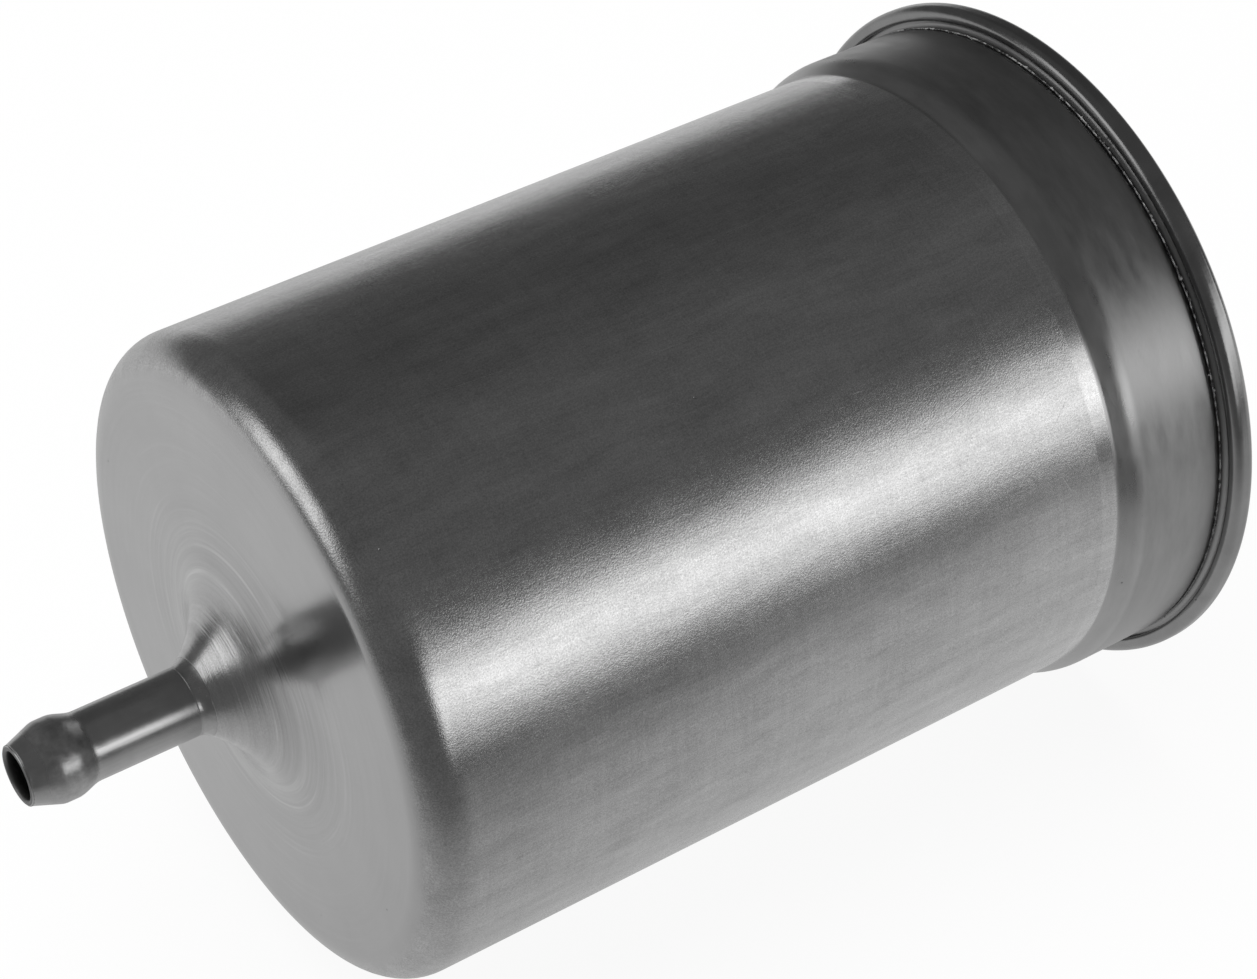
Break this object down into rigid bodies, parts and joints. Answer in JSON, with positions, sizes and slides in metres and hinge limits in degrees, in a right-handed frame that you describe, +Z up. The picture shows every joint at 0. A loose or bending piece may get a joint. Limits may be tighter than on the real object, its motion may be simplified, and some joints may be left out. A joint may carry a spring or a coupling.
{
  "type": "in-line fuel filter",
  "caption": "Cylindrical steel in-line fuel filter with a rolled end seam, a beaded hose spigot at each end and a spring-loaded pleated element inside.",
  "frame": {"origin": "on the filter's axis, at the middle of the can's straight wall, where a strap or clamp holds it", "axes": "+X along the axis towards the seamed cover and the inlet spigot, -X towards the outlet spigot, +Z up"},
  "size_m": [0.1604, 0.0832, 0.0832],
  "materials": {
    "can_steel": "satin drawn steel, clear passivated",
    "cover_steel": "satin steel pressing",
    "pipe_steel": "drawn steel tube, bright",
    "braze": "braze fillet under the can's finish",
    "gasket_rubber": "seaming compound",
    "sealant": "squeezed-out sealing compound",
    "plated_steel": "zinc plated pressing",
    "spring_steel": "oil-tempered spring wire",
    "tinplate": "tinplate pressing",
    "potting": "amber plastisol adhesive",
    "filter_paper": "resin-cured pleated paper",
    "glue": "hot-melt glue",
    "gauze": "woven nylon gauze",
    "seal_rubber": "fuel-proof nitrile rubber"
  },
  "bodies": {
    "housing": {"housing_can": "can_steel", "end_cover": "cover_steel", "outlet_pipe": "pipe_steel", "inlet_pipe": "pipe_steel", "outlet_braze_ring": "braze", "inlet_braze_ring": "braze", "seam_gasket": "gasket_rubber", "sealant_bead": "sealant", "spring_cup": "plated_steel", "compression_spring": "spring_steel"},
    "element": {"spring_plate": "plated_steel", "closed_end_cap": "tinplate", "closed_end_potting": "potting", "pleated_media": "filter_paper", "media_seam_clip": "tinplate", "pleat_bands": "glue", "strainer_sleeve": "gauze", "core_tube": "tinplate", "open_end_potting": "potting", "open_end_cap": "tinplate", "outlet_grommet": "seal_rubber"}
  },
  "joints": [
    {"name": "element_lift", "type": "slide", "parent": "housing", "child": "element", "axis": [1, 0, 0], "range_m": [0, 0.0015], "stiffness_N_per_m": 3000, "springref_m": -0.007, "deforming": ["compression_spring"]}
  ]
}
